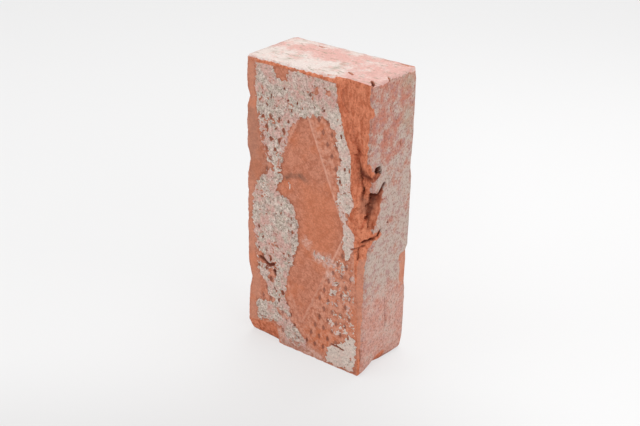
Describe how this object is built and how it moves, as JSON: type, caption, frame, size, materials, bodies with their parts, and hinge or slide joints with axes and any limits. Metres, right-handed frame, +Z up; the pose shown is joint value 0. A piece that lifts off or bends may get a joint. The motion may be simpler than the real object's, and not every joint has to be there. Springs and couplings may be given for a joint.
{
  "type": "clay brick",
  "caption": "Old pressed red clay brick with a lozenge panel and a net of pits on one bed, and one long edge broken away.",
  "frame": {"origin": "centre of the base, which is one header end of the brick", "axes": "+Z up the brick's length, +X across its width towards the broken edge, -Y out of the patterned bed face"},
  "size_m": [0.109, 0.057, 0.23],
  "materials": {
    "fired_clay": "dry unglazed red clay, weathered, with mortar left on it"
  },
  "bodies": {
    "root": {"brick": "fired_clay"}
  },
  "joints": []
}
